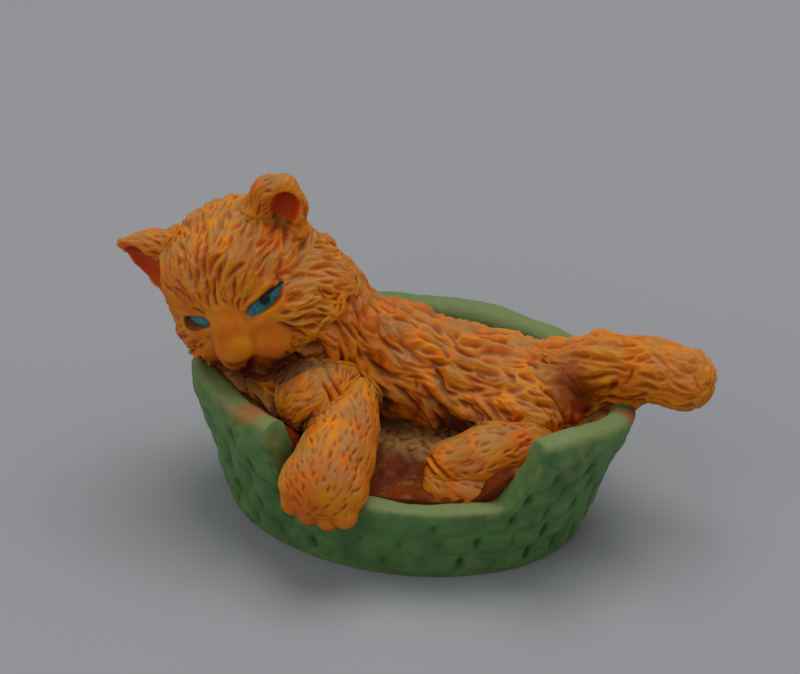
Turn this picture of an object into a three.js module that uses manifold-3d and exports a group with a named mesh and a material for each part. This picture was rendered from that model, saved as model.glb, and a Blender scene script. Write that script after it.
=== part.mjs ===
// A small cast-resin figure: a long-haired kitten lying in an oval wicker pet basket.
// The kitten's parts are separate castings with glued tenons, and a moulded bedding pad fills the basket.
// Units are millimetres. +Z is up, +X points along the basket to the tail, and the low front faces -Y.
// The origin is on the underside, below the middle of the basket's rim, and the figure stands there.

import * as THREE from 'three';
import { LoftGeometry } from 'three/addons/geometries/LoftGeometry.js';
import { mergeVertices } from 'three/addons/utils/BufferGeometryUtils.js';
import Module from 'manifold-3d';

const wasm = await Module();
wasm.setup();

// ---------- Driving dimensions ----------

const FIT_GAP = 0.3; // clearance left all round a piece that sits in another

const BASKET = {
  rimLength: 54.6,
  rimWidth: 41,
  baseLength: 44.4,
  baseWidth: 32,
  baseShift: -1.1, // the base's middle from the rim's middle, along X
  height: 17,
  wall: 3.3,
  floor: 2.6,
  flare: 1.25, // above 1 the wall leans out faster near its rim
  crown: 0.1, // the middle of the floor stands this much higher than its edge
  rimRound: 0.9,
  // The rim climbs towards the two corners of the low front, by this much on the left and on the right.
  cornerRise: [2.4, 3.5],
  sillHeight: 11, // top of the wall along the low front
  // Where the low front starts and ends, in degrees round the oval from +X: rim level, then sill level.
  notchLeft: [243.5, 246.5],
  notchRight: [317, 309.5],
};

const BEDDING = {
  edgeHeight: 14.6, // where the pad meets the wall, away from the low front
  frontHeight: 9.6,
  hollowHeight: 10.6, // middle of the pad, under the kitten
};

const HEAD = {
  centre: [-19.8, -2.2, 29.4],
  yaw: 4,
  pitch: 3, // nose down
  roll: -29, // crown towards -X
  skull: [10.1, 9.4, 9.8], // radii across, front to back, and up
};

// Places in the head's own frame: x across to its left ear, -y out of the face, z up through the crown.
// Sides are numbered 1 for the kitten's left and -1 for its right.
const EAR = {
  root: { 1: [7.2, -0.4, 5.6], [-1]: [-7.4, -0.4, 5.0] },
  tip: { 1: [11.5, -1.0, 10.6], [-1]: [-12.4, -0.8, 10.2] },
  halfWidth: 4,
  tipHalfWidth: 1.5,
  depth: 1.9,
  shell: 1.1,
  tenonRadius: 1.3,
  tenonLength: 3,
};
const EYE = { place: [4.3, -8.0, 0.6], radii: [2.1, 0.75, 0.8], slant: 4, wrap: 36 };

// Limbs and body: each station is [x, y, z, radius across, radius up] of one section.
const BODY_STATIONS = [
  [-13.0, 1.6, 22.3, 8.2, 8.3],
  [-5.0, 2.2, 18.3, 7.7, 7.3],
  [3.0, 2.8, 16.2, 7.6, 6.9],
  [10.5, 3.4, 15.5, 7.8, 6.6],
  [16.0, 4.1, 16.6, 6.2, 5.4],
];
const TAIL_STATIONS = [
  [17.6, 5.0, 19.0, 3.6, 3.4],
  [22.0, 5.2, 20.4, 3.6, 3.6],
  [27.0, 4.6, 21.4, 3.9, 3.8],
  [32.2, 2.8, 22.0, 3.8, 3.7],
];
const HANGING_LEG_STATIONS = [
  [-5.8, -6.8, 17.0, 3.7, 3.6],
  [-5.3, -11.4, 15.6, 4.3, 3.9],
  [-5.3, -15.6, 13.8, 4.9, 3.8],
  [-5.4, -18.2, 12.3, 5.0, 3.5],
];
const FOLDED_LEG_STATIONS = [
  [-8.0, -5.8, 19.7, 3.4, 3.4],
  [-9.2, -8.2, 18.6, 4.3, 4.1],
  [-9.9, -9.2, 18.0, 4.0, 4.0],
];
const UPPER_HIND_LEG_STATIONS = [
  [15.0, -5.0, 14.4, 3.8, 3.6],
  [11.0, -7.8, 13.3, 3.5, 3.4],
  [7.6, -9.2, 12.3, 3.3, 3.1],
];
const LOWER_HIND_LEG_STATIONS = [
  [12.6, -9.2, 9.8, 2.7, 2.5],
  [9.2, -10.8, 9.5, 2.8, 2.5],
  [6.8, -11.2, 9.8, 2.8, 2.6],
];
const PAW = { toes: 4, spread: 6.2, toeRadius: 1.9, place: [-5.3, -19.9, 10.7] };
const TENON = { neckRadius: 2.6, neckLength: 7, tailRadius: 1.6, tailLength: 5, legRadius: 1.6, legLength: 4.5 };

// ---------- Solids ----------

const radians = THREE.MathUtils.degToRad;
const lerp = THREE.MathUtils.lerp;
const smoothstep = THREE.MathUtils.smoothstep;

// A closed three.js geometry as a manifold-3d solid.
function solid(geometry) {
  const plain = new THREE.BufferGeometry();
  plain.setAttribute('position', geometry.getAttribute('position'));
  if (geometry.index) plain.setIndex(geometry.index);
  const merged = mergeVertices(plain, 1e-4);
  return new wasm.Manifold(new wasm.Mesh({
    numProp: 3,
    vertProperties: merged.getAttribute('position').array,
    triVerts: new Uint32Array(merged.index.array),
  }));
}

// A manifold-3d solid back as a three.js geometry.
function geometryOf(piece) {
  const { vertProperties, triVerts, numProp, numVert } = piece.getMesh();
  const positions = new Float32Array(numVert * 3);
  for (let i = 0; i < numVert; i++) positions.set(vertProperties.subarray(i * numProp, i * numProp + 3), i * 3);
  const geometry = new THREE.BufferGeometry();
  geometry.setAttribute('position', new THREE.BufferAttribute(positions, 3));
  geometry.setIndex(new THREE.BufferAttribute(new Uint32Array(triVerts), 1));
  geometry.computeVertexNormals();
  return geometry;
}

// An ellipsoid at a point, in the frame of a matrix.
function ellipsoid(centre, radii, { frame, turn = new THREE.Euler(), grow = 0, detail = 12 } = {}) {
  const geometry = new THREE.SphereGeometry(1, detail, Math.round(detail * 0.62));
  geometry.scale(...radii.map((r) => r + grow));
  geometry.applyMatrix4(new THREE.Matrix4().makeRotationFromEuler(turn));
  geometry.translate(...centre);
  if (frame) geometry.applyMatrix4(frame);
  return solid(geometry);
}

// A round peg from one point towards another.
function peg(from, towards, radius, length, grow = 0) {
  const start = new THREE.Vector3(...from);
  const direction = new THREE.Vector3(...towards).sub(start).normalize();
  const geometry = new THREE.CylinderGeometry(radius + grow, radius + grow, length + grow, 12);
  geometry.translate(0, (length + grow) / 2, 0);
  geometry.applyQuaternion(new THREE.Quaternion().setFromUnitVectors(new THREE.Vector3(0, 1, 0), direction));
  geometry.translate(...start);
  return solid(geometry);
}

// A limb: oval rings strung along a smooth spine, closed by a dome at each end.
function limb(stations, { grow = 0, sides = 14, rings = 8, domeRings = 3 } = {}) {
  const spine = new THREE.CatmullRomCurve3(stations.map((s) => new THREE.Vector3(s[0], s[1], s[2])));
  const radii = new THREE.CatmullRomCurve3(stations.map((s) => new THREE.Vector3(s[3], s[4], 0)));
  const sections = [];
  const addRing = (centre, tangent, across, up) => {
    const side = new THREE.Vector3(0, 0, 1).cross(tangent).normalize();
    const top = tangent.clone().cross(side);
    sections.push(Array.from({ length: sides }, (_, i) => {
      const angle = (i / sides) * 2 * Math.PI;
      return centre.clone()
        .addScaledVector(side, across * Math.cos(angle))
        .addScaledVector(top, up * Math.sin(angle));
    }));
  };
  const addDome = (at, outwards) => {
    const centre = spine.getPoint(at);
    const tangent = spine.getTangent(at);
    const size = radii.getPoint(at).addScalar(grow);
    const reach = Math.min(size.x, size.y);
    for (let i = 0; i < domeRings; i++) {
      const angle = ((outwards > 0 ? i + 1 : domeRings - i) / (domeRings + 0.35)) * (Math.PI / 2);
      const place = centre.clone().addScaledVector(tangent, outwards * reach * Math.sin(angle));
      addRing(place, tangent, size.x * Math.cos(angle), size.y * Math.cos(angle));
    }
  };
  addDome(0, -1);
  for (let i = 0; i <= rings; i++) {
    const at = i / rings;
    const size = radii.getPoint(at);
    addRing(spine.getPoint(at), spine.getTangent(at), size.x + grow, size.y + grow);
  }
  addDome(1, 1);
  return solid(new LoftGeometry(sections, { capStart: true, capEnd: true }));
}

const joined = (...pieces) => pieces.reduce((whole, piece) => whole.add(piece));
const cutBy = (piece, ...tools) => tools.reduce((left, tool) => left.subtract(tool), piece);

// ---------- Basket and bedding ----------

// How far round the oval lies inside the low front: 0 at the full rim, 1 along the sill.
function notchShare(degrees) {
  const [leftTop, leftSill] = BASKET.notchLeft;
  const [rightTop, rightSill] = BASKET.notchRight;
  return smoothstep(degrees, leftTop, leftSill) * (1 - smoothstep(degrees, rightSill, rightTop));
}

// The top of the wall: level round the back, climbing to the two front corners, dropping to the sill between.
function wallTop(degrees) {
  const { height, cornerRise: [left, right], sillHeight } = BASKET;
  const across = (1 + Math.cos(radians(degrees))) / 2;
  const climb = smoothstep(-Math.sin(radians(degrees)), -0.3, 0.6) * lerp(left, right, across);
  return lerp(height + climb, sillHeight, notchShare(degrees));
}

// Angles round the oval, closer together along the notch's two steep ends.
function ovalAngles() {
  const near = 3;
  const angles = [];
  for (let degrees = 0; degrees < 360;) {
    angles.push(degrees);
    const steep = Math.abs(notchShare(degrees + near) - notchShare(degrees - near)) > 0;
    degrees += steep ? 1.5 : 6;
  }
  return angles;
}

// One ring round the oval, moved in from the wall's outer face by inset; the wall leans out as it goes up.
function ovalRing(inset, heightAt) {
  return ovalAngles().map((degrees) => {
    const level = heightAt(degrees);
    const lean = Math.pow(THREE.MathUtils.clamp(level / BASKET.height, 0, 1), BASKET.flare);
    const halfLength = lerp(BASKET.baseLength, BASKET.rimLength, lean) / 2 - inset;
    const halfWidth = lerp(BASKET.baseWidth, BASKET.rimWidth, lean) / 2 - inset;
    const middle = lerp(BASKET.baseShift, 0, lean);
    return new THREE.Vector3(
      middle + halfLength * Math.cos(radians(degrees)),
      halfWidth * Math.sin(radians(degrees)),
      level,
    );
  });
}

function basket(grow = 0) {
  const { wall, floor, crown, rimRound } = BASKET;
  const top = (degrees) => wallTop(degrees) + grow;
  const outside = [0, 0.33, 0.66, 0.95].map((s) => ovalRing(-grow, (d) => lerp(-grow, top(d) - rimRound, s)));
  const rim = [
    ovalRing(-grow, (d) => top(d) - rimRound),
    ovalRing(rimRound - grow, top),
    ovalRing(wall - rimRound + grow, top),
    ovalRing(wall + grow, (d) => top(d) - rimRound),
  ];
  const inside = [0.66, 0.33, 0].map((s) => ovalRing(wall + grow, (d) => lerp(floor + grow, top(d) - rimRound, s)));
  const middle = ovalRing(BASKET.baseWidth * 0.4, () => floor + crown + grow);
  return solid(new LoftGeometry([...outside, ...rim, ...inside, middle], { capStart: true, capEnd: true }));
}

function bedding() {
  const { wall, floor, crown } = BASKET;
  const { edgeHeight, frontHeight, hollowHeight } = BEDDING;
  const inset = wall + 1.5 * FIT_GAP;
  const bottom = floor + FIT_GAP;
  const edge = (degrees) => lerp(edgeHeight, frontHeight, notchShare(degrees));
  const sides = [0, 0.5, 1].map((s) => ovalRing(inset, (d) => lerp(bottom, edge(d), s)));
  const upper = [[0.25, 1.5], [0.6, 4], [1, 8]].map(([s, inwards]) => ovalRing(
    inset + inwards, (d) => lerp(edge(d), hollowHeight, s),
  ));
  const middle = ovalRing(inset + 11, () => hollowHeight + crown);
  return solid(new LoftGeometry([...sides, ...upper, middle], { capStart: true, capEnd: true }));
}

// ---------- Kitten ----------

// Turns and moves a place in the head's own frame into the figure's.
const headFrame = new THREE.Matrix4().compose(
  new THREE.Vector3(...HEAD.centre),
  new THREE.Quaternion().setFromEuler(
    new THREE.Euler(radians(HEAD.pitch), radians(HEAD.roll), radians(HEAD.yaw), 'ZXY'),
  ),
  new THREE.Vector3(1, 1, 1),
);
const inHead = (x, y, z) => new THREE.Vector3(x, y, z).applyMatrix4(headFrame).toArray();

function head(grow = 0) {
  const at = { frame: headFrame, grow };
  const skull = ellipsoid([0, 0, 0], HEAD.skull, { ...at, detail: 20 });
  const muzzle = [-1, 1].flatMap((s) => [
    ellipsoid([s * 2.2, -9.6, -3.6], [2.6, 2.4, 2.3], at),
    ellipsoid([s * 5.6, -5.0, -4.0], [3.8, 3.6, 3.8], at),
  ]);
  const nose = ellipsoid([0, -10.2, -2.2], [1.5, 1.7, 1.4], at);
  const chin = ellipsoid([0, -8.0, -6.2], [2.7, 2.4, 2.0], at);
  const neck = peg(inHead(2, 2, -5), BODY_STATIONS[1].slice(0, 3), TENON.neckRadius, TENON.neckLength + 4, grow);
  return joined(skull, ...muzzle, nose, chin, neck);
}

// An ear tapers from a solid root to a blunt tip and is hollowed towards the face, with a tenon under it.
function ear(side, grow = 0) {
  const { root, tip, halfWidth, tipHalfWidth, depth, shell } = EAR;
  const foot = new THREE.Vector3(...root[side]);
  const point = new THREE.Vector3(...tip[side]);
  const up = point.clone().sub(foot).normalize();
  const back = new THREE.Vector3(0, 1, 0).addScaledVector(up, -up.y).normalize();
  const across = back.clone().cross(up);
  const sections = [0, 0.15, 0.35, 0.55, 0.75, 0.9, 1].map((share) => {
    const half = lerp(halfWidth, tipHalfWidth, Math.pow(share, 1.3)) + grow;
    const thick = lerp(depth, tipHalfWidth, share) + grow;
    const hollow = grow ? -thick : lerp(-thick, thick - shell, smoothstep(share, 0, 0.35));
    const centre = foot.clone().lerp(point, share);
    return Array.from({ length: 16 }, (_, i) => {
      const angle = (i / 16) * 2 * Math.PI;
      const rise = Math.sin(angle);
      return centre.clone()
        .addScaledVector(across, half * Math.cos(angle))
        .addScaledVector(back, rise >= 0 ? thick * rise : -hollow * rise);
    });
  });
  const flap = new LoftGeometry(sections, { capStart: true, capEnd: true });
  flap.applyMatrix4(headFrame);
  const tenonStart = inHead(...foot.clone().addScaledVector(up, 0.8).toArray());
  const tenonEnd = inHead(...foot.clone().addScaledVector(up, -4).toArray());
  return joined(solid(flap), peg(tenonStart, tenonEnd, EAR.tenonRadius, EAR.tenonLength, grow));
}

function eye(side, grow = 0) {
  const [x, y, z] = EYE.place;
  const turn = new THREE.Euler(0, radians(-side * EYE.slant), radians(side * EYE.wrap));
  return ellipsoid([side * x, y, z], EYE.radii, { frame: headFrame, turn, grow, detail: 12 });
}

// The toes stand side by side along the end of the hanging paw, the middle ones lowest.
function toes(grow) {
  const { toes: count, spread, toeRadius, place: [x, y, z] } = PAW;
  return Array.from({ length: count }, (_, i) => {
    const offset = i / (count - 1) - 0.5;
    const drop = (0.25 - offset * offset) * toeRadius;
    return ellipsoid([x + offset * spread, y, z - drop], [toeRadius, toeRadius, toeRadius], { grow, detail: 8 });
  });
}

function hangingForeleg(grow = 0) {
  const leg = limb(HANGING_LEG_STATIONS, { grow });
  const tenon = peg([-3.6, -7, 15.8], [-1, 2, 17.5], TENON.legRadius, TENON.legLength + 3, grow);
  return joined(leg, tenon, ...toes(grow));
}

function foldedForeleg(grow = 0) {
  const leg = limb(FOLDED_LEG_STATIONS, { grow });
  return joined(leg, peg([-6, -5, 20], [-3, 1, 19.5], TENON.legRadius, TENON.legLength + 2, grow));
}

function upperHindLeg(grow = 0) {
  const leg = limb(UPPER_HIND_LEG_STATIONS, { grow });
  return joined(leg, peg([14, -4, 15], [12, 3, 16.5], TENON.legRadius, TENON.legLength + 2, grow));
}

const lowerHindLeg = (grow = 0) => limb(LOWER_HIND_LEG_STATIONS, { grow });

function tail(grow = 0) {
  const [x, y, z] = TAIL_STATIONS[0];
  const tenon = peg([x - 1, y, z], BODY_STATIONS[3].slice(0, 3), TENON.tailRadius, TENON.tailLength + 3, grow);
  return joined(limb(TAIL_STATIONS, { grow }), tenon);
}

// ---------- Assembly ----------

const RESIN = { color: 0xd9822b, roughness: 0.62, metalness: 0 };
const finishes = {
  green: new THREE.MeshStandardMaterial({ color: 0x3f7a4c, roughness: 0.75, metalness: 0 }),
  bedding: new THREE.MeshStandardMaterial({ color: 0x8a3f12, roughness: 0.8, metalness: 0 }),
  resin: new THREE.MeshStandardMaterial(RESIN),
  iris: new THREE.MeshStandardMaterial({ color: 0x1f8c8f, roughness: 0.35, metalness: 0 }),
};

// Every piece in the order it keeps its shape: a later one is cut back to clear all the earlier ones.
const order = [
  ['basket', basket, finishes.green],
  ['eye_left', (grow) => eye(1, grow), finishes.iris],
  ['eye_right', (grow) => eye(-1, grow), finishes.iris],
  ['ear_left', (grow) => ear(1, grow), finishes.resin],
  ['ear_right', (grow) => ear(-1, grow), finishes.resin],
  ['head', head, finishes.resin],
  ['foreleg_hanging', hangingForeleg, finishes.resin],
  ['foreleg_folded', foldedForeleg, finishes.resin],
  ['hind_leg_upper', upperHindLeg, finishes.resin],
  ['hind_leg_lower', lowerHindLeg, finishes.resin],
  ['tail', tail, finishes.resin],
  ['body', (grow) => limb(BODY_STATIONS, { grow, sides: 20, rings: 10, domeRings: 4 }), finishes.resin],
  ['bedding', bedding, finishes.bedding],
];

const figure = new THREE.Group();
const tools = [];
for (const [name, make, finish] of order) {
  const whole = cutBy(make(0), ...tools);
  const largest = whole.decompose().sort((a, b) => b.volume() - a.volume())[0];
  const mesh = new THREE.Mesh(geometryOf(largest), finish);
  mesh.name = name;
  figure.add(mesh);
  tools.push(make(FIT_GAP));
}

export default figure;
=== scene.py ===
"""Looks of a small cast-resin kitten lying in a green wicker basket.

The kitten is modelled like clay, as blended distance fields, and its fur is then combed into the surface
stroke by stroke. The basket is a swept wall with a worn weave. Lengths are in millimetres until a mesh is
made. The frame is the CAD's: +Z is up, +X runs towards the tail, and the basket's low front faces -Y.
"""

import itertools
import math

import bpy
import numpy as np
import openvdb
from mathutils import Euler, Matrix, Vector
from mathutils.kdtree import KDTree


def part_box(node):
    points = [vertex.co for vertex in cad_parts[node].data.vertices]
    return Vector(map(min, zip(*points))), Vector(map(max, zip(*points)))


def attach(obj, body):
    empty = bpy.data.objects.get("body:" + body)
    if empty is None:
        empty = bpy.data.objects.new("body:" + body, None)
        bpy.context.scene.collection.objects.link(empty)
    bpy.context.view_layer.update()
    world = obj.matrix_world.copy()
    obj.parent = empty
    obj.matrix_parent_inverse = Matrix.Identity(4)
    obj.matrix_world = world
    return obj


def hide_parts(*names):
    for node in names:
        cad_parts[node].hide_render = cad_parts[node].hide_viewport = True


MM = 0.001

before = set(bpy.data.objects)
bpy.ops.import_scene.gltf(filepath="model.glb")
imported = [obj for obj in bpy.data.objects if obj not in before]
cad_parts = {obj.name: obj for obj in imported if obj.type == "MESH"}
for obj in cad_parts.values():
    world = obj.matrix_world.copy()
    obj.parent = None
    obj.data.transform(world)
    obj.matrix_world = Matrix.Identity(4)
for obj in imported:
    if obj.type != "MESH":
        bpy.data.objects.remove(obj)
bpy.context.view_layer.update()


# ---------- Driving dimensions, in mm ----------

# Degrees round the basket's oval run from the tail's end over the back to the low front, which is at 270.
BASKET = {
    "rim": (54.6, 41),  # length and width over the wall
    "base": (44.4, 32),
    "base_shift": -1.1,  # the base's middle from the rim's middle, along X
    "rim_height": 17,
    "corner_rise": (2.4, 3.5),  # how far the rim climbs to the low front's left and right corner
    "sill": 11,
    "wall": 3.4,
    "floor": 2.6,
    "lip": 1.25,  # rounding of the rim's two edges
    "foot": 0.2,  # rounding of the foot's edge
    "flare": 1.25,  # above 1 the wall leans out faster near its rim
    "notch_left": (242.4, 246.5),  # degrees at rim level, at sill level
    "notch_right": (318.4, 309.3),
    "left_patch": (234, 9),  # paint worn off the rim: middle and half width in degrees
    "tail_patches": (2, 8),  # the same, on both sides of the tail
}
WEAVE = {
    "row": 3.3,
    "pitch": 4.9,
    "bulge": 0.4,
    "dent": 0.85,
    "dent_half": (0.62, 1.0),  # half width and half height of a dent
    "faint": (276, 26, 0.6),  # where the weave is worn faint: middle and half width in degrees, share lost
}
BEDDING = {
    "front": 10.8,  # height behind the sill
    "middle": 12.7,  # height under the belly
    "back": 15.2,  # height at the back wall
    "foreleg_rise": 3.8,  # how far it climbs above that beside the forelegs
    "foreleg_side": (222, 26),  # where: middle and half width in degrees
    "tail_rise": 1.2,
    "tail_sides": (8, 24),
    "low_left": (241, 254),  # degrees between which it drops to the front's height
    "low_right": (317, 301),
    "overlap": 0.4,  # how far it runs into the wall
    "gap": 0.1,  # between it and the basket's floor
}

HEAD = {"centre": (-19.8, -2.2, 29.4), "yaw": 4, "pitch": 3, "roll": -29}

# Spines of limbs: each station is x, y, z, radius.
TAIL = [(17.2, 5.0, 19.4, 3.7), (22.0, 5.2, 20.8, 3.9), (27.0, 4.6, 21.4, 4.05), (32.3, 2.9, 21.9, 4.05)]
HANGING_LEG = [
    (-6.0, -6.4, 17.0, 3.6),
    (-5.2, -10.8, 15.8, 4.0),
    (-5.0, -14.6, 14.6, 4.5),
    (-5.3, -17.4, 13.4, 4.7),
]
FOLDED_LEG = [(-8.2, -5.6, 19.9, 3.4), (-9.0, -8.0, 18.9, 4.0), (-9.6, -8.8, 18.4, 4.1)]
UPPER_HIND_LEG = [(15.0, -5.0, 14.4, 3.8), (11.0, -7.8, 13.5, 3.5), (7.4, -9.4, 12.5, 3.2)]
LOWER_HIND_LEG = [(13.2, -9.2, 10.2, 2.9), (9.6, -10.7, 9.9, 2.9), (7.2, -10.8, 10.3, 2.8)]


# ---------- Distance fields ----------

FAR = 6.0  # a field's value away from every shape


def turn_matrix(x=0, y=0, z=0):
    """Rotation by angles in degrees."""
    return np.array(Euler((math.radians(x), math.radians(y), math.radians(z))).to_matrix())


def unit(vectors):
    """Vectors scaled to length 1."""
    return vectors / (np.linalg.norm(vectors, axis=-1, keepdims=True) + 1e-9)


def ease(values, low, high):
    """0 below low, 1 above high, smooth between; low may be the larger."""
    share = np.clip((values - low) / (high - low), 0, 1)
    return share * share * (3 - 2 * share)


def ball(centre, radii, turn=np.eye(3)):
    """An ellipsoid as (distance function, lowest corner, highest corner)."""
    centre, radii, turn = (np.array(values, np.float32) for values in (centre, radii, turn))

    def distance(points):
        offset = (points - centre) @ turn
        size = np.linalg.norm(offset / radii, axis=-1)
        slope = np.linalg.norm(offset / radii**2, axis=-1) + 1e-6
        return size * (size - 1) / slope

    return distance, centre - radii.max(), centre + radii.max()


def tube(stations):
    """A chain of round cones through stations, as ball() gives its shape."""
    stations = np.array(stations, np.float32)

    def distance(points):
        best = np.full(points.shape[:-1], FAR, np.float32)
        for start, end in zip(stations, stations[1:]):
            along = end[:3] - start[:3]
            share = np.clip(((points - start[:3]) @ along) / (along @ along), 0, 1)
            nearest = start[:3] + share[..., None] * along
            radius = start[3] + share * (end[3] - start[3])
            best = soft_min(best, np.linalg.norm(points - nearest, axis=-1) - radius, 0.8)
        return best

    reach = stations[:, 3:]
    return distance, (stations[:, :3] - reach).min(0), (stations[:, :3] + reach).max(0)


def soft_min(a, b, soft):
    """The smaller of two fields, with a fillet of about the given size where they meet."""
    share = np.clip(0.5 + 0.5 * (b - a) / soft, 0, 1)
    return b + (a - b) * share - soft * share * (1 - share)


class Clay:
    """A block of signed distances on a grid: negative inside the shape."""

    def __init__(self, low, high, voxel):
        self.voxel = voxel
        self.low = np.array(low, float)
        self.size = tuple(int(n) for n in np.ceil((np.array(high) - self.low) / voxel) + 1)
        self.field = np.full(self.size, FAR, np.float32)

    def window(self, low, high):
        """The slices of the grid between two corners, and the points there."""
        first = np.clip(np.floor((low - self.low) / self.voxel).astype(int), 0, self.size)
        last = np.clip(np.ceil((high - self.low) / self.voxel).astype(int) + 1, 0, self.size)
        axes = [self.low[k] + self.voxel * np.arange(first[k], last[k]) for k in range(3)]
        points = np.stack(np.meshgrid(*axes, indexing="ij"), -1).astype(np.float32)
        return tuple(slice(a, b) for a, b in zip(first, last)), points

    def add(self, shape, soft=0.8):
        """Joins a shape on, with a fillet."""
        distance, low, high = shape
        part, points = self.window(low - 3, high + 3)
        if points.size:
            self.field[part] = soft_min(self.field[part], distance(points), soft)

    def cut(self, shape, soft=0.4):
        """Takes a shape away, with its edge rounded."""
        distance, low, high = shape
        part, points = self.window(low - 1, high + 1)
        if points.size:
            self.field[part] = -soft_min(-self.field[part], distance(points), soft)

    def surface(self):
        """Points and four-cornered faces of the zero level."""
        grid = openvdb.FloatGrid(FAR)
        grid.copyFromArray(self.field)
        points, faces = grid.convertToQuads(isovalue=0.0)
        return self.low + points * self.voxel, faces

    def noise(self, cell, seed):
        """Noise at every corner of the grid."""
        _, points = self.window(self.low, self.low + self.voxel * np.array(self.size))
        return noise(points.reshape(-1, 3), cell, seed).reshape(self.size)


# ---------- The kitten's forms ----------

head_turn = turn_matrix(z=HEAD["yaw"]) @ turn_matrix(x=HEAD["pitch"]) @ turn_matrix(y=HEAD["roll"])


def from_head(place):
    """A place in the head's own frame (x to its left, forward, up) in the figure's frame."""
    x, forward, up = place
    return np.array(HEAD["centre"]) + head_turn @ np.array((x, -forward, up))


def to_head(points):
    """Points of the figure in the head's own frame (x to its left, forward, up)."""
    local = (points - np.array(HEAD["centre"])) @ head_turn
    return local * (1, -1, 1)


def head_ball(place, radii, tilt=0, wrap=0):
    """An ellipsoid in the head's frame; tilt raises its left end, wrap turns its left end backwards."""
    turn = turn_matrix(z=wrap) @ turn_matrix(y=-tilt)
    return ball(from_head(place), radii, head_turn @ turn)


def head_tube(places):
    """A tube through stations of x, forward, up and radius in the head's frame."""
    return tube([(*from_head(place[:3]), place[3]) for place in places])


# The middle of each eye in the head's frame, how it is turned, and half its width and height.
EYES = {
    "eye_left": {"place": (4.95, 7.65, 0.05), "tilt": 13, "wrap": 26, "half": (3.2, 0.9)},
    "eye_right": {"place": (-4.5, 7.6, 0.5), "tilt": -5, "wrap": -32, "half": (2.2, 0.9)},
}


def head_clay(clay):
    # Skull, brow and cheeks.
    clay.add(head_ball((-0.4, -0.4, 0.8), (10.2, 8.9, 9.3)))
    clay.add(head_ball((0, 3.4, 3.4), (7.8, 5.4, 5.8)), 2)
    for side in (-1, 1):
        clay.add(head_ball((side * 5.3, 4.9, -2.6), (4.2, 3.8, 4.0)), 1.8)
        clay.add(head_ball((side * 7.1, 0.8, -4.0), (4.2, 4.8, 4.8)), 2.5)
    # Muzzle, bridge and nose.
    clay.add(head_ball((0.4, 6.9, -3.4), (4.6, 2.6, 3.2)), 1.5)
    clay.add(head_tube([(-0.1, 7.0, 2.6, 2.2), (-0.4, 8.6, -0.8, 2.0), (-0.7, 9.3, -2.4, 2.0)]), 1.6)
    clay.add(head_ball((-1.0, 9.7, -3.5), (2.3, 1.7, 1.9)), 0.8)
    # Whisker pads, left and right, and chin.
    clay.add(head_ball((2.7, 7.9, -5.2), (2.5, 1.9, 2.1)), 1.2)
    clay.add(head_ball((-2.4, 8.1, -5.2), (1.9, 1.7, 1.7)), 1.0)
    clay.add(head_ball((0.4, 6.2, -6.7), (2.2, 1.9, 1.2)), 0.8)
    for eye in EYES.values():
        eye_socket_clay(clay, eye)


def eye_socket_clay(clay, eye):
    """A hollow for the lens, with a lid above it and one below."""
    x, forward, up = eye["place"]
    half, open_half = eye["half"]
    angles = (eye["tilt"], eye["wrap"])
    clay.cut(head_ball((x, forward + 0.95, up), (half + 0.1, 1.35, open_half + 0.1), *angles), 0.35)
    clay.add(head_ball((x, forward, up + open_half + 0.4), (half - 0.5, 0.55, 0.4), *angles), 0.5)
    clay.add(head_ball((x, forward - 0.1, up - open_half - 0.4), (half - 0.7, 0.5, 0.4), *angles), 0.5)


# Each ear is a rounded rim through stations of x, forward, up and radius, on a back plate, and hollowed by
# a scoop of place, radii and tilt.
EARS = {
    "ear_left": {
        "rim": [
            (6.2, 0, 8.0, 2.0), (8.6, 0, 9.6, 1.8), (10.9, 0, 9.4, 1.3),
            (11.2, 0.2, 7.9, 0.8), (10.2, 0.4, 5.6, 0.7), (9.4, 0.4, 3.6, 0.9),
        ],
        "back": ((8.6, -1.4, 6.9), (3.0, 1.5, 3.5)),
        "scoop": ((10.0, 1.4, 7.4), (1.45, 2.0, 1.9), -36),
    },
    "ear_right": {
        "rim": [
            (-5.6, 0, 7.2, 2.2), (-8.6, 0, 8.2, 1.6), (-11.2, 0, 9.3, 0.9),
            (-12.6, -0.2, 10.0, 0.45), (-12.2, -0.5, 6.8, 0.4), (-11.2, -0.3, 3.6, 0.6),
            (-9.4, 0.4, 1.8, 1.3),
        ],
        "back": ((-9.8, -1.2, 6.3), (2.9, 1.4, 3.7)),
        "scoop": ((-11.1, 1.4, 6.4), (1.7, 1.9, 3.2), 12),
    },
}


def ear_clay(clay, ear):
    clay.add(head_ball(*ear["back"]))
    clay.add(head_tube(ear["rim"]), 1.0)
    clay.cut(head_ball(*ear["scoop"]), 0.5)


TAIL_HOLLOW = ball((18.3, 1.8, 18.4), (3.8, 3.8, 3.4))


def smooth_hollows(points):
    """1 in the bare, smooth hollows of the ears, less under the tail, 0 elsewhere."""
    ears = [ease(head_ball(*ear["scoop"])[0](points), 0.5, 0.1) for ear in EARS.values()]
    return np.max([*ears, 0.6 * ease(TAIL_HOLLOW[0](points), 0.8, -0.8)], axis=0)


# Where shade is painted in pools, with how dark: low on the belly, under the chin and under the tail.
SHADE_POOLS = [
    (ball((2.5, -6.0, 14.5), (8, 5, 4.5)), 0.3),
    (head_ball((0.6, 7.0, -7.8), (4.6, 3.6, 2.2)), 0.8),
    (TAIL_HOLLOW, 0.7),
]


def pooled_shade(points):
    """The strength of the painted shade in a pool's middle, 0 well outside it."""
    return np.max([strength * ease(shape[0](points), 1.8, -1.8) for shape, strength in SHADE_POOLS], axis=0)


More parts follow.
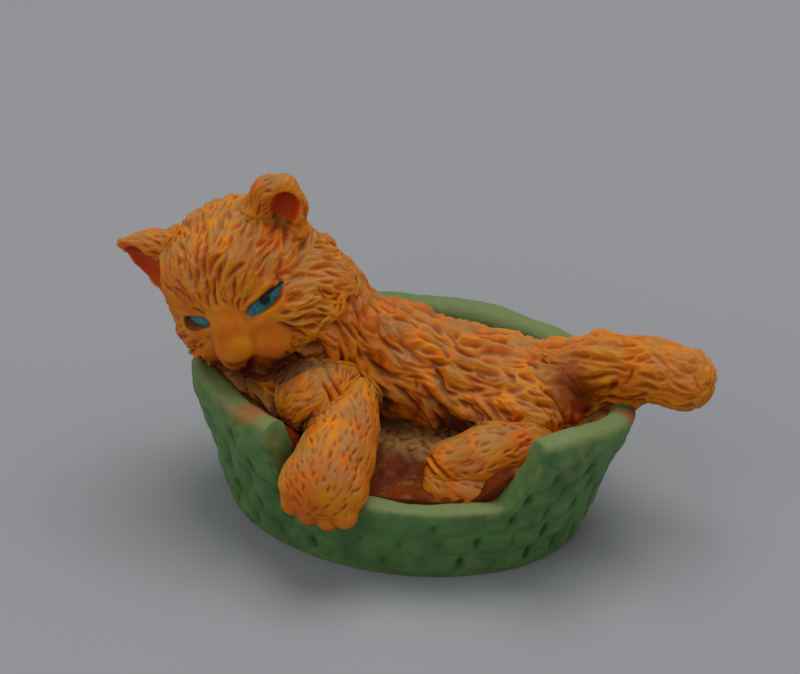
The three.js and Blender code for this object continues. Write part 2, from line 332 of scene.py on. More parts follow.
# The trunk's masses from chest to tail, each a centre and radii.
TRUNK = [
    ((-13.5, 1.2, 21.3), (8.4, 8.4, 8.3)),  # shoulders
    ((-13.9, 1.2, 25.9), (8.0, 7.6, 6.4)),  # neck
    ((-10.4, -2.6, 23.8), (7.0, 5.6, 6.4)),  # ruff beside the cheek
    ((-15.0, -5.4, 16.0), (7.4, 6.6, 5.2)),  # chest
    ((-5.2, 2.2, 18.3), (9.0, 7.9, 7.6)),  # ribs
    ((3.0, 3.0, 16.7), (9.0, 7.9, 7.2)),  # belly
    ((10.5, 3.4, 15.9), (8.6, 8.0, 6.7)),  # hips
    ((13.8, -0.6, 16.0), (6.4, 6.4, 5.6)),  # haunch
    ((16.8, 5.0, 16.8), (4.6, 5.4, 5.0)),  # rump
    ((20.0, 4.6, 13.4), (4.0, 5.0, 4.0)),  # seat under the tail
]


def body_clay(clay):
    for centre, radii in TRUNK:
        clay.add(ball(centre, radii), 2)


def hanging_leg_clay(clay):
    clay.add(tube(HANGING_LEG))
    x, y, z, _ = HANGING_LEG[-1]
    clay.add(ball((x - 0.1, y - 0.8, z - 0.6), (5.3, 3.7, 3.9)), 1.4)
    toe_spread = (-3.3, -1.3, 1.0, 3.1)
    toe_drop = (0.3, 1.3, 1.6, 0.9)
    for across, drop in zip(toe_spread, toe_drop):
        clay.add(ball((x + 0.1 + across, y - 2.5, z - 1.9 - drop), (1.45, 1.6, 1.7)), 0.5)


def folded_leg_clay(clay):
    clay.add(tube(FOLDED_LEG))
    x, y, z, _ = FOLDED_LEG[-1]
    clay.add(ball((x + 0.1, y, z), (4.4, 4.1, 4.2)), 1)


def upper_hind_clay(clay):
    clay.add(tube(UPPER_HIND_LEG))


def lower_hind_clay(clay):
    clay.add(tube(LOWER_HIND_LEG))


def tail_clay(clay):
    clay.add(tube(TAIL))
    clay.add(ball((24.5, 4.4, 17.8), (3.4, 2.4, 3.0)), 1.6)


PARTS = {
    "body": body_clay,
    "head": head_clay,
    "ear_left": lambda clay: ear_clay(clay, EARS["ear_left"]),
    "ear_right": lambda clay: ear_clay(clay, EARS["ear_right"]),
    "foreleg_hanging": hanging_leg_clay,
    "foreleg_folded": folded_leg_clay,
    "hind_leg_upper": upper_hind_clay,
    "hind_leg_lower": lower_hind_clay,
    "tail": tail_clay,
}
# Fillets where a part meets the rest, and the spacing of the grid that each part is made on.
FILLETS = {"body": 2, "head": 4, "ear_left": 1.4, "ear_right": 1.4, "tail": 1.6}
TIGHT_FILLET = 0.6
VOXELS = {"body": 0.3, "head": 0.24}
OTHER_VOXEL = 0.26
MARGIN = 5.5  # room round each part's CAD box
SEAM_OVERLAP = 0.5  # neighbouring pieces run this far into each other, so no gap shows between them
SEAM_TUCK = 0.6  # how deep a piece's edge is tucked under its neighbour's surface
LONG_FURRED = {"head", "body"}  # the seam between these two wanders, so that it is lost in the fur
SEAM_RIPPLE, SEAM_CELL = 0.8, 2.0  # how far it wanders, and over what length
CREASE_REACHES = (1.0, 2.4)  # a crease is where there is no room this far out


class Skin:
    """A mesh being worked on: points, faces, normals and painted values."""

    def __init__(self, points, faces):
        self.points, self.faces = points, faces
        self.layers = {}
        self.measure()

    def measure(self):
        """Recomputes the normal of every point from the faces round it."""
        a, b, c, d = (self.points[self.faces[:, k]] for k in range(4))
        across = np.cross(c - a, d - b)
        self.normals = np.zeros_like(self.points)
        for k in range(4):
            np.add.at(self.normals, self.faces[:, k], across)
        self.normals = unit(self.normals)

    def tree(self):
        """The points, ready to be found by place."""
        tree = KDTree(len(self.points))
        for index, point in enumerate(self.points):
            tree.insert(point, index)
        tree.balance()
        return tree

    def push(self, amount):
        """Moves every point out along its normal."""
        self.points = self.points + self.normals * amount[:, None]


def sculpt(name):
    """One part of the kitten as a skin, cut where the next part takes over."""
    voxel = VOXELS.get(name, OTHER_VOXEL)
    low, high = (np.array(corner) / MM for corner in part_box(name))
    own, whole = (Clay(low - MARGIN, high + MARGIN, voxel) for _ in range(2))
    PARTS[name](own)
    ripple = own.noise(SEAM_CELL, 11) * SEAM_RIPPLE * (1 if name == "body" else -1)
    seam = np.full(own.size, -FAR, np.float32)
    for other, model in PARTS.items():
        part = Clay(low - MARGIN, high + MARGIN, voxel)
        model(part)
        whole.field = soft_min(whole.field, part.field, FILLETS.get(other, TIGHT_FILLET))
        if other != name:
            gap = (own.field - part.field) / 2
            if {name, other} == LONG_FURRED:
                gap += ripple * steepness(gap, voxel)
            seam = np.maximum(seam, gap)
    seam /= steepness(seam, voxel)
    own.field = np.maximum(whole.field, seam - SEAM_OVERLAP).astype(np.float32)
    skin = subdivided(*own.surface())
    skin.layers["outside"] = 1 - ease(np.abs(sample(whole, skin.points)), 0.15, 0.35)
    # The crease layer says where shade is painted: where the whole kitten leaves no room outwards, as
    # between parts.
    outwards = slope(whole, skin.points)
    crease = np.zeros(len(skin.points))
    for reach in CREASE_REACHES:
        room = sample(whole, skin.points + outwards * reach) / reach
        crease = np.maximum(crease, ease(room, 0.8, 0.2))
    skin.layers["crease"] = crease * skin.layers["outside"]
    own.field = seam - SEAM_OVERLAP
    skin.layers["tuck"] = ease(-sample(own, skin.points), 1.4 * SEAM_OVERLAP, 0) * skin.layers["outside"]
    return skin


def steepness(field, voxel):
    """How much a field changes per mm, held between a quarter and one."""
    return np.clip(np.sqrt(sum(part**2 for part in np.gradient(field, voxel))), 0.25, 1)


def slope(clay, points):
    """Directions straight out of the shape at some points."""
    steps = np.eye(3) * clay.voxel
    return unit(np.stack([sample(clay, points + step) - sample(clay, points - step) for step in steps], 1))


def blended(values, first, part):
    """Values of a repeating lattice at points a part of the way from corner first to the next."""
    total = np.zeros(len(first))
    for corner in itertools.product((0, 1), repeat=3):
        weight = np.prod(np.where(corner, part, 1 - part), axis=1)
        total += weight * values[tuple(((first + corner) % values.shape).T)]
    return total


def sample(clay, points):
    """A grid's values at points between its corners."""
    place = np.clip((points - clay.low) / clay.voxel, 0, np.array(clay.size) - 1.001)
    first = np.floor(place).astype(int)
    return blended(clay.field, first, place - first)


def subdivided(points, faces):
    """The surface split once into four and smoothed."""
    mesh = bpy.data.meshes.new("working")
    mesh.from_pydata(points.tolist(), [], faces.tolist())
    piece = bpy.data.objects.new("working", mesh)
    bpy.context.collection.objects.link(piece)
    modifier = piece.modifiers.new("finer", "SUBSURF")
    modifier.levels = modifier.render_levels = 1
    finished = piece.evaluated_get(bpy.context.evaluated_depsgraph_get()).to_mesh()
    fine_points = np.empty(len(finished.vertices) * 3, np.float32)
    finished.vertices.foreach_get("co", fine_points)
    fine_faces = np.empty(len(finished.loops), np.int32)
    finished.loops.foreach_get("vertex_index", fine_faces)
    bpy.data.objects.remove(piece)
    bpy.data.meshes.remove(mesh)
    return Skin(fine_points.reshape(-1, 3).astype(float), fine_faces.reshape(-1, 4))


# ---------- Fur ----------


def noise(points, cell, seed):
    """Smooth random values from -1 to 1 that change over about one cell."""
    lattice = np.random.default_rng(seed).uniform(-1, 1, (64, 64, 64))
    place = points / cell
    first = np.floor(place).astype(int)
    return blended(lattice, first, ease(place - first, 0, 1))


def streaks(points, flow, cell, reach, seed, steps=9):
    """Noise drawn out along the flow, about -1 to 1."""
    total = sum(noise(points + flow * step, cell, seed) for step in np.linspace(-reach, reach, steps))
    return total / steps * 2.2


def swirl(skin, flow, seed, cell=4.0, most=0.5):
    """The flow laid on the surface and turned a little, by up to most radians, in slow waves."""
    flow = unit(flow - (flow * skin.normals).sum(1, keepdims=True) * skin.normals)
    sideways = np.cross(skin.normals, flow)
    angle = most * noise(skin.points, cell, seed)[:, None]
    return flow * np.cos(angle) + sideways * np.sin(angle)


STROKE_STEPS = 9  # a multiple of 3, because a stroke is pressed in thirds
TAPER = np.sin(np.linspace(0.06, 0.97, STROKE_STEPS + 1) * math.pi) ** 0.7
LEAST_FUR = 0.08  # no stroke starts where there is less


def comb(skin, tree, flow, amount, spacing, length, width, depth, bend, seed):
    """Tapering grooves along the flow, one at every spacing, as how deep they press each point."""
    rng = np.random.default_rng(seed)
    order = rng.permutation(len(skin.points))
    cells = np.floor(skin.points[order] / spacing).astype(int)
    _, first = np.unique(cells, axis=0, return_index=True)
    starts = order[np.sort(first)]
    starts = starts[amount[starts] > LEAST_FUR]
    pressed = np.zeros(len(skin.points))
    for start in starts:
        long = length * rng.uniform(0.7, 1.5)
        wide = width * rng.uniform(0.75, 1.25)
        deep = depth * rng.uniform(0.6, 1.2)
        angle = 0.3 * bend * rng.normal()
        curl = bend * rng.normal() / STROKE_STEPS
        path = [skin.points[start]]
        index = start
        for _ in range(STROKE_STEPS):
            angle += curl
            sideways = np.cross(skin.normals[index], flow[index])
            heading = flow[index] * math.cos(angle) + sideways * math.sin(angle)
            place, index, _ = tree.find(path[-1] + heading * (long / STROKE_STEPS))
            path.append(np.array(place))
        path = np.array(path)
        for first_step in range(0, STROKE_STEPS, 3):
            third = slice(first_step, first_step + 4)
            middle = path[third][1:3].mean(0)
            near = [i for _, i, _ in tree.find_range(middle, long / 6 + wide)]
            if near:
                groove = groove_profile(skin.points[near], path[third], TAPER[third], wide)
                pressed[near] = np.maximum(pressed[near], deep * groove)
    return pressed * amount


def groove_profile(points, path, taper, wide):
    """How deep points lie in a groove along a path, 0 to 1; the groove narrows and shallows with taper."""
    start, along = path[:-1], np.diff(path, axis=0)
    offset = points[:, None] - start[None]
    share = np.clip((offset * along).sum(2) / ((along**2).sum(1) + 1e-9), 0, 1)
    distance = np.linalg.norm(offset - share[..., None] * along, axis=2)
    local = taper[:-1] + share * np.diff(taper)
    return (np.clip(1 - (distance / (wide * (0.4 + 0.6 * local))) ** 2, 0, 1) * local).max(1)


def smoothed(skin, values, rounds):
    """Values averaged over neighbouring points, again and again."""
    count = len(skin.points)
    corners = [skin.faces[:, k] for k in range(4)]
    links = sum(np.bincount(corner, minlength=count) for corner in corners) * 1.0
    for _ in range(rounds):
        means = sum(values[corner] for corner in corners) / 4
        total = np.zeros_like(values)
        for column in range(values.shape[1]):
            total[:, column] = sum(np.bincount(c, means[:, column], count) for c in corners)
        values = total / links[:, None]
    return values


def body_flow(points):
    """From the neck back to the tail, and down over the sides."""
    x, y, z = points.T
    sag = np.clip(-(y - 2.0) / 8, -1, 1)
    flow = np.stack([np.ones_like(x), -0.25 * sag, -0.36 - 0.55 * np.abs(sag)], 1)
    flow[:, 2] += 0.3 * ease(x, 2, 14)
    return flow


def head_flow(points):
    """Out from the bridge of the nose over brow, crown and cheeks."""
    local = to_head(points)
    away = local - np.array((0, 8.5, -1.2))
    away[:, 2] -= 2.2 * ease(-local[:, 2], 1, 6)
    return (away * (1, -1, 1)) @ head_turn.T


def leg_flow(stations):
    """Along a limb from its root to its end."""
    line = np.array(stations)[:, :3]

    def flow(points):
        nearest = np.argmin(np.linalg.norm(points[:, None] - line[None], axis=2), axis=1)
        direction = unit(np.gradient(line, axis=0))
        return direction[nearest]

    return flow


# Smooth places of the head, in its own frame, with how far each reaches: nose, muzzle and bridge.
BARE_PLACES = [
    ((0, 10.8, -2.8), 4.6),
    ((3.0, 9.2, -4.0), 3.4),
    ((-3.0, 9.2, -4.0), 3.4),
    ((0, 9.3, 0.2), 2.6),
]


def head_fur(points):
    """1 where the head is furry, 0 on nose and muzzle, and little round the eyes."""
    local = to_head(points)
    amount = np.ones(len(points))
    for place, reach in BARE_PLACES:
        amount *= ease(np.linalg.norm(local - np.array(place), axis=1), reach * 0.62, reach)
    for eye in EYES.values():
        amount *= 0.12 + 0.88 * ease(np.linalg.norm(local - np.array(eye["place"]), axis=1), 1.9, 3.2)
    return amount


def fur_everywhere(points, amount=1.0):
    return np.full(len(points), amount)


def shallow_fur(points):
    return fur_everywhere(points, 0.7)


# Folds pressed across the paws: a place, the direction across them, and how far each lies from the place.
FOLDS = {
    "foreleg_folded": (FOLDED_LEG[-1][:3], (0.73, 0.52, 0.41), (1.6, 2.9)),
    "hind_leg_upper": (UPPER_HIND_LEG[-1][:3], (-0.55, -0.59, -0.57), (1.2, 2.2)),
}
FOLD_WIDTH, FOLD_DEPTH = 0.34, 0.6


def folds(name, points):
    """How deep points lie in a part's folds, in mm."""
    pressed = np.zeros(len(points))
    if name in FOLDS:
        place, across, offsets = FOLDS[name]
        along = (points - np.array(place)) @ np.array(across) + 0.5 * noise(points, 2.6, 51)
        broken = ease(noise(points, 2.2, 52), -0.5, 0.1)
        for offset in offsets:
            fold = np.exp(-(((along - offset) / FOLD_WIDTH) ** 2))
            pressed = np.maximum(pressed, FOLD_DEPTH * broken * fold)
    return pressed


# Passes of grooves: spacing, length, width and depth in mm, and how far a stroke bends in radians.
LOCKS = {"spacing": 1.7, "length": 4.8, "width": 0.8, "depth": 0.8, "bend": 0.75}
STRANDS = {"spacing": 0.8, "length": 2.8, "width": 0.34, "depth": 0.32, "bend": 0.6}
FACE_LOCKS = {"spacing": 1.6, "length": 3.4, "width": 0.56, "depth": 0.55, "bend": 0.45}
FACE_STRANDS = {"spacing": 0.9, "length": 2.0, "width": 0.28, "depth": 0.22, "bend": 0.5}
DASHES = {"spacing": 1.5, "length": 1.1, "width": 0.28, "depth": 0.2, "bend": 0.4}
HAIRS = 0.05  # height of the finest relief


def coat(flow, fur=fur_everywhere, lumps=0.1, passes=(STRANDS,)):
    """How a part is furred: flow and amount by place, height of its lumps, and passes of grooves."""
    return {"flow": flow, "fur": fur, "lumps": lumps, "passes": passes}


def above_toes(points):
    """1 up the hanging leg, less on its smooth toes."""
    toe_height = HANGING_LEG[-1][2] - 3.2
    return 0.25 + 0.75 * ease(points[:, 2], toe_height, toe_height + 3)


COATS = {
    "body": coat(body_flow, lumps=0.5, passes=(LOCKS, STRANDS)),
    "head": coat(head_flow, head_fur, lumps=0.22, passes=(FACE_LOCKS, FACE_STRANDS)),
    "ear_left": coat(head_flow, passes=(FACE_STRANDS,)),
    "ear_right": coat(head_flow, passes=(FACE_STRANDS,)),
    "foreleg_hanging": coat(leg_flow(HANGING_LEG), above_toes, lumps=0.06, passes=(DASHES,)),
    "foreleg_folded": coat(leg_flow(FOLDED_LEG), passes=(FACE_STRANDS,)),
    "hind_leg_upper": coat(leg_flow(UPPER_HIND_LEG), passes=(DASHES,)),
    "hind_leg_lower": coat(leg_flow(LOWER_HIND_LEG), passes=(DASHES,)),
    "tail": coat(leg_flow(TAIL), shallow_fur, lumps=0.25, passes=(LOCKS, STRANDS)),
}


def grow_fur(name, skin, seed):
    """Raises streaky lumps and combs grooves into a part; paints how deep each point lies."""
    style = COATS[name]
    amount = style["fur"](skin.points) * skin.layers["outside"]
    inner = smooth_hollows(skin.points)
    tuck = skin.layers.pop("tuck")
    amount *= (1 - inner) * (1 - 0.8 * tuck)
    flow = swirl(skin, style["flow"](skin.points), seed)
    lumps = style["lumps"] * streaks(skin.points, flow, 1.2, 1.8, seed + 1)
    hairs = HAIRS * streaks(skin.points, flow, 0.34, 0.7, seed + 2)
    tree = skin.tree()
    pressed = folds(name, skin.points)
    for number, strokes in enumerate(style["passes"]):
        flow = swirl(skin, flow, seed + 10 + number, cell=2.2, most=0.4)
        pressed = np.maximum(pressed, comb(skin, tree, flow, amount, seed=seed + 20 + number, **strokes))
    skin.push((lumps + hairs) * amount - pressed - SEAM_TUCK * tuck)
    skin.measure()
    rise = ((skin.points - smoothed(skin, skin.points, 24)) * skin.normals).sum(1)
    skin.layers["sunk"] = np.clip(0.5 - rise / 0.5, 0, 1)
    skin.layers["fur"] = amount
    skin.layers["pooled_shade"] = pooled_shade(skin.points)
    skin.layers["inner"] = inner


# ---------- Meshes and materials ----------


def make_object(name, skin, material):
    """A mesh object in metres from a skin, with its painted values as attributes."""
    mesh = bpy.data.meshes.new(name)
    mesh.from_pydata((skin.points * MM).tolist(), [], skin.faces.tolist())
    for layer, values in skin.layers.items():
        attribute = mesh.attributes.new(layer, "FLOAT", "POINT")
        attribute.data.foreach_set("value", values.astype(np.float32))
    mesh.shade_smooth()
    mesh.materials.append(material)
    piece = bpy.data.objects.new(name, mesh)
    bpy.context.collection.objects.link(piece)
    return piece


def install(piece, node):
    """The piece takes a CAD node's place."""
    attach(piece, "root")
    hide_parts(node)


class Nodes:
    """Short ways to build a material's node tree."""

    def __init__(self, name):
        self.material = bpy.data.materials.new(name)
        self.material.use_nodes = True
        self.tree = self.material.node_tree
        self.shader = self.tree.nodes["Principled BSDF"]
        self.place = self.tree.nodes.new("ShaderNodeTexCoord").outputs["Object"]

    def link(self, source, target):
        self.tree.links.new(source, target)

    def put(self, socket, value):
        """Links a node's output to a socket, or sets a plain value on it."""
        if isinstance(value, bpy.types.NodeSocket):
            self.link(value, socket)
        else:
            socket.default_value = value

    def surface(self, name, value):
        """Sets one of the shader's inputs."""
        self.put(self.shader.inputs[name], value)

    def noise(self, cell, detail=3):
        """Noise of a grain size in mm, about 0 to 1."""
        node = self.tree.nodes.new("ShaderNodeTexNoise")
        node.inputs["Scale"].default_value = 1 / (cell * MM)
        node.inputs["Detail"].default_value = detail
        node.inputs["Roughness"].default_value = 0.55
        self.link(self.place, node.inputs["Vector"])
        return node.outputs["Fac"]

    def layer(self, name):
        """A value painted on the mesh."""
        node = self.tree.nodes.new("ShaderNodeAttribute")
        node.attribute_name = name
        return node.outputs["Fac"]

    def facing_up(self):
        """1 where the surface faces up, 0 on a wall, -1 where it faces down."""
        geometry = self.tree.nodes.new("ShaderNodeNewGeometry")
        split = self.tree.nodes.new("ShaderNodeSeparateXYZ")
        self.link(geometry.outputs["Normal"], split.inputs[0])
        return split.outputs["Z"]

    def ramp(self, value, low, high, to_low=0.0, to_high=1.0):
        """A value mapped from one range to another, clamped and eased."""
        node = self.tree.nodes.new("ShaderNodeMapRange")
        node.interpolation_type = "SMOOTHSTEP"
        self.put(node.inputs["Value"], value)
        limits = {"From Min": low, "From Max": high, "To Min": to_low, "To Max": to_high}
        for socket, number in limits.items():
            node.inputs[socket].default_value = number
        return node.outputs["Result"]

    def times(self, a, b):
        """The product of two values, held between 0 and 1."""
        node = self.tree.nodes.new("ShaderNodeMath")
        node.operation = "MULTIPLY"
        node.use_clamp = True
        self.put(node.inputs[0], a)
        self.put(node.inputs[1], b)
        return node.outputs[0]

    def mix(self, share, a, b):
        """Colour a changing to colour b as share goes from 0 to 1."""
        node = self.tree.nodes.new("ShaderNodeMix")
        node.data_type = "RGBA"
        self.put(node.inputs[0], share)
        self.put(node.inputs[6], a)
        self.put(node.inputs[7], b)
        return node.outputs[2]

    def bump(self, height, distance, strength, normal=None):
        """A surface roughened by a height, over a distance in mm, on top of another bump if one is given."""
        node = self.tree.nodes.new("ShaderNodeBump")
        node.inputs["Distance"].default_value = distance * MM
        node.inputs["Strength"].default_value = strength
        self.link(height, node.inputs["Height"])
        if normal is not None:
            self.link(normal, node.inputs["Normal"])
        return node.outputs["Normal"]


def colour(red, green, blue):
    """An sRGB colour, 0 to 255, as the linear colour that shaders take."""
    levels = [level / 255 for level in (red, green, blue)]
    linear = [s / 12.92 if s <= 0.04045 else ((s + 0.055) / 1.055) ** 2.4 for s in levels]
    return (*linear, 1.0)


ORANGE = colour(232, 142, 6)
DEEP_ORANGE = colour(222, 112, 2)
WORN_ORANGE = colour(176, 88, 26)
EMBER = colour(182, 68, 2)
BROWN_WASH_AND_SHADE = colour(98, 36, 4)
PAINTED_SHADE_BROWN = colour(66, 16, 2)
DUST = colour(168, 130, 74)
EAR_RED = colour(206, 70, 2)
BEDDING_BROWN = colour(124, 52, 4)
SAGE = colour(122, 136, 80)
GREEN = colour(92, 138, 68)
DARK_GREEN = colour(56, 90, 42)
TURQUOISE = colour(46, 136, 138)
DEEP_TURQUOISE = colour(28, 98, 108)
BLACK = colour(10, 10, 12)


def kitten_material():
    """Orange casting resin with a brown wash in its grooves, dust on what faces up, and painted shade in
    creases and below.
    """
    nodes = Nodes("orange_resin")
    shade = nodes.mix(nodes.ramp(nodes.noise(4.5), 0.35, 0.65), ORANGE, DEEP_ORANGE)
    sunk = nodes.layer("sunk")
    shade = nodes.mix(nodes.ramp(sunk, 0.42, 0.72, 0, 0.85), shade, EMBER)
    patchy = nodes.ramp(nodes.noise(1.6), 0.3, 0.7, 0.45, 0.95)
    shade = nodes.mix(nodes.times(nodes.ramp(sunk, 0.6, 0.95), patchy), shade, BROWN_WASH_AND_SHADE)
    # Painted shade in the creases between parts, weaker where there is little fur.
    crease_shade = nodes.ramp(nodes.layer("crease"), 0.25, 1.0, 0, 0.9)
    furry = nodes.ramp(nodes.layer("fur"), 0.0, 1.0, 0.75, 1.0)
    shade = nodes.mix(nodes.times(crease_shade, furry), shade, PAINTED_SHADE_BROWN)
    shade = nodes.mix(nodes.ramp(nodes.layer("inner"), 0.2, 0.9), shade, EAR_RED)
    # Painted shade on what faces down, as under the chin.
    shaded_underside = nodes.ramp(nodes.facing_up(), -0.25, -0.85, 0, 0.75)
    shade = nodes.mix(shaded_underside, shade, PAINTED_SHADE_BROWN)
    patches = nodes.ramp(nodes.noise(3.2, detail=5), 0.34, 0.6)
    dusty = nodes.times(nodes.ramp(nodes.facing_up(), 0.15, 0.9), patches)
    dusty = nodes.times(dusty, nodes.layer("fur"))
    shade = nodes.mix(nodes.times(dusty, 0.72), shade, DUST)
    # Painted shade pooled low on the belly, under the chin and in the hollow under the tail.
    shade = nodes.mix(nodes.layer("pooled_shade"), shade, BROWN_WASH_AND_SHADE)
    nodes.surface("Base Color", shade)
    nodes.surface("Roughness", nodes.ramp(nodes.noise(0.7), 0.3, 0.7, 0.48, 0.7))
    nodes.surface("Subsurface Weight", 0.35)
    nodes.surface("Subsurface Radius", (1.0, 0.32, 0.08))
    nodes.surface("Subsurface Scale", 1.3 * MM)
    nodes.surface("Specular IOR Level", 0.25)
    fine = nodes.bump(nodes.noise(0.18, detail=2), 0.02, 0.5)
    nodes.surface("Normal", nodes.bump(nodes.noise(0.6, detail=3), 0.05, 0.5, fine))
    return nodes.material


# ---------- Basket and bedding ----------


def notch_share(degrees):
    """0 at the full rim, 1 along the sill of the low front."""
    left_top, left_sill = BASKET["notch_left"]
    right_top, right_sill = BASKET["notch_right"]
    return ease(degrees, left_top, left_sill) * (1 - ease(degrees, right_sill, right_top))


def wall_top(degrees):
    """Height of the wall: level round the back, climbing to the front corners, low between them."""
    left, right = BASKET["corner_rise"]
    angle = np.radians(degrees)
    climb = ease(-np.sin(angle), -0.3, 0.6) * (left + (right - left) * (1 + np.cos(angle)) / 2)
    full = BASKET["rim_height"] + climb
    return full + (BASKET["sill"] - full) * notch_share(degrees)


def oval_angles(count):
    """Degrees round the oval, closer together at the two steep ends of the low front."""
    fine = np.arange(0, 360, 0.1)
    steep = np.abs(notch_share(fine + 2) - notch_share(fine - 2)) > 0
    place = np.cumsum(1 + 3 * steep)
    return np.interp(np.arange(count) / count, (place - place[0]) / place[-1], fine)


def oval_ring(degrees, inset, level):
    """Points round the oval at a height, moved in from the wall's outer face by inset."""
    level = level + 0 * degrees
    lean = np.clip(level / BASKET["rim_height"], 0, 1) ** BASKET["flare"]
    (rim_length, rim_width), (base_length, base_width) = BASKET["rim"], BASKET["base"]
    half_length = (base_length + (rim_length - base_length) * lean) / 2 - inset
    half_width = (base_width + (rim_width - base_width) * lean) / 2 - inset
    middle = BASKET["base_shift"] * (1 - lean)
    angle = np.radians(degrees)
    return np.stack([middle + half_length * np.cos(angle), half_width * np.sin(angle), level], 1)


def closed_skin(rings):
    """A closed skin through rings of equal size, with strips of faces across the first and the last."""
    count = len(rings[0])
    index = np.arange(count)
    after = np.roll(index, -1)
    last = (len(rings) - 1) * count
    sides = [
        np.stack([ring + index, ring + after, ring + count + after, ring + count + index], 1)
        for ring in range(0, last, count)
    ]
    half = index[: count // 2]
    across = np.stack([half, count - 1 - half, (count - half) % count, (half - 1) % count], 1)[1:]
    return Skin(np.concatenate(rings), np.concatenate([*sides, across, last + across[:, ::-1]]))


def weave(round_mm, height):
    """Worn wicker: rows of soft bulges, each row shifted by half, with a dent where two canes meet."""
    row = np.floor(height / WEAVE["row"])
    up = (height / WEAVE["row"] - row - 0.5) * WEAVE["row"]
    along = round_mm / WEAVE["pitch"] + 0.5 * (row % 2) + 0.17 * np.sin(2.3 * row)
    cane = np.floor(along)
    across = (along - cane - 0.5) * WEAVE["pitch"]
    strength = 0.15 + 0.85 * np.abs(np.sin(1.7 * cane + 4.1 * row)) ** 2  # some dents are nearly filled
    half_width, half_height = WEAVE["dent_half"]
    dent = np.exp(-((across / half_width) ** 2) - (up / half_height) ** 2) * strength
    rounded = np.cos(math.pi * up / WEAVE["row"]) ** 0.5
    bulge = rounded * np.clip(np.abs(across) / WEAVE["pitch"] * 2, 0, 1) ** 0.5
    return WEAVE["bulge"] * bulge - WEAVE["dent"] * dent


def around(degrees, middle, half_width):
    """1 at a place round the oval, falling to 0 on both sides of it."""
    return np.exp(-(((degrees - middle) / half_width) ** 2))


def from_tail(degrees):
    """Degrees from the tail's end of the oval, either way round."""
    return np.minimum(degrees, 360 - degrees)


def rough(points, *waves):
    """Uneven relief in mm, as the sum of noises of a height, a cell and a seed each."""
    return sum(height * noise(points, cell, seed) for height, cell, seed in waves)


def basket_skin():
    """The basket as one surface, from the middle of its foot up the outside and down into it."""
    degrees = oval_angles(880)
    top = wall_top(degrees)
    wall, floor, lip, foot = (BASKET[name] for name in ("wall", "floor", "lip", "foot"))
    # Through a rounded quarter turn, ahead falls from 1 to 0 and behind rises from 0 to 1.
    quarter = [(1 - math.sin(angle), 1 - math.cos(angle)) for angle in np.linspace(0, math.pi / 2, 7)]
    under = [oval_ring(degrees, inset, 0) for inset in np.linspace(14, foot, 6)]
    turn = [oval_ring(degrees, foot * ahead, foot * behind) for ahead, behind in quarter[1:]]
    rise, drop = np.linspace(0, 1, 50)[1:], np.linspace(1, 0, 16)[1:]
    outer = [oval_ring(degrees, 0, foot + (top - lip - foot) * share) for share in rise]
    shoulder = [oval_ring(degrees, lip * behind, top - lip * ahead) for ahead, behind in quarter[1:]]
    flat = [oval_ring(degrees, lip + (wall - 2 * lip) * share, top) for share in (0.25, 0.5, 0.75)]
    edge = [oval_ring(degrees, wall - lip * ahead, top - lip * behind) for ahead, behind in quarter]
    inner = [oval_ring(degrees, wall, floor + (top - lip - floor) * share) for share in drop]
    inside = [oval_ring(degrees, wall + inset, floor) for inset in (3, 7, 10.6)]
    skin = closed_skin(under + turn + outer + shoulder + flat + edge + inner + inside)
    rings = len(skin.points) // len(degrees)
    below_top = np.tile(top, rings) - skin.points[:, 2]
    degrees_there = np.tile(degrees, rings)
    first_woven = len(under + turn) * len(degrees)
    outer_face = slice(first_woven, first_woven + len(outer) * len(degrees))
    woven = np.zeros(len(skin.points))
    woven[outer_face] = ease(below_top[outer_face], 1.4, 3.0)
    faint_middle, faint_half, faint_share = WEAVE["faint"]
    woven *= 1 - faint_share * around(degrees_there, faint_middle, faint_half)
    round_mm = np.radians(degrees_there) * sum(BASKET["rim"]) / 4
    relief = weave(round_mm, skin.points[:, 2] - 0.4) * woven
    relief += rough(skin.points, (0.3, 5.0, 6), (0.08, 1.8, 7), (0.03, 0.7, 8))
    skin.push(relief * ease(skin.points[:, 2], 0.0, 1.2))
    skin.measure()
    standing = ((skin.points - smoothed(skin, skin.points, 30)) * skin.normals).sum(1)
    skin.layers["sunk"] = np.clip(0.5 - standing / 0.6, 0, 1)
    bare = around(degrees_there, *BASKET["left_patch"])
    bare += around(from_tail(degrees_there), *BASKET["tail_patches"])
    patches = ease(rough(skin.points, (1, 1.8, 9), (0.5, 0.6, 10)), -0.1, 0.6)
    skin.layers["worn"] = bare * patches * ease(below_top, 2.0, 0.2)
    return skin


def basket_material():
    """Green paint with a dusty, paler top, painted shade in its dents, and resin showing where the rim is
    worn.
    """
    nodes = Nodes("green_paint")
    shade = nodes.mix(nodes.ramp(nodes.noise(4.0), 0.3, 0.7, 0, 0.6), GREEN, DARK_GREEN)
    # Painted shade in the dents and other hollows of the wall.
    shade = nodes.mix(nodes.ramp(nodes.layer("sunk"), 0.55, 0.95, 0, 0.8), shade, DARK_GREEN)
    scuffs = nodes.ramp(nodes.noise(1.4, detail=5), 0.4, 0.65)
    scuffed = nodes.times(nodes.ramp(nodes.layer("sunk"), 0.52, 0.25), scuffs)
    shade = nodes.mix(nodes.times(scuffed, 0.7), shade, SAGE)
    patches = nodes.ramp(nodes.noise(2.0), 0.2, 0.6, 0.55, 1.0)
    dusty = nodes.times(nodes.ramp(nodes.facing_up(), 0.3, 0.9), patches)
    shade = nodes.mix(dusty, shade, SAGE)
    shade = nodes.mix(nodes.times(nodes.layer("worn"), 0.75), shade, WORN_ORANGE)
    nodes.surface("Base Color", shade)
    nodes.surface("Roughness", nodes.ramp(nodes.noise(0.8), 0.3, 0.7, 0.6, 0.8))
    fine = nodes.bump(nodes.noise(0.2, detail=2), 0.02, 0.6)
    nodes.surface("Normal", nodes.bump(nodes.noise(0.6, detail=4), 0.06, 0.6, fine))
    return nodes.material


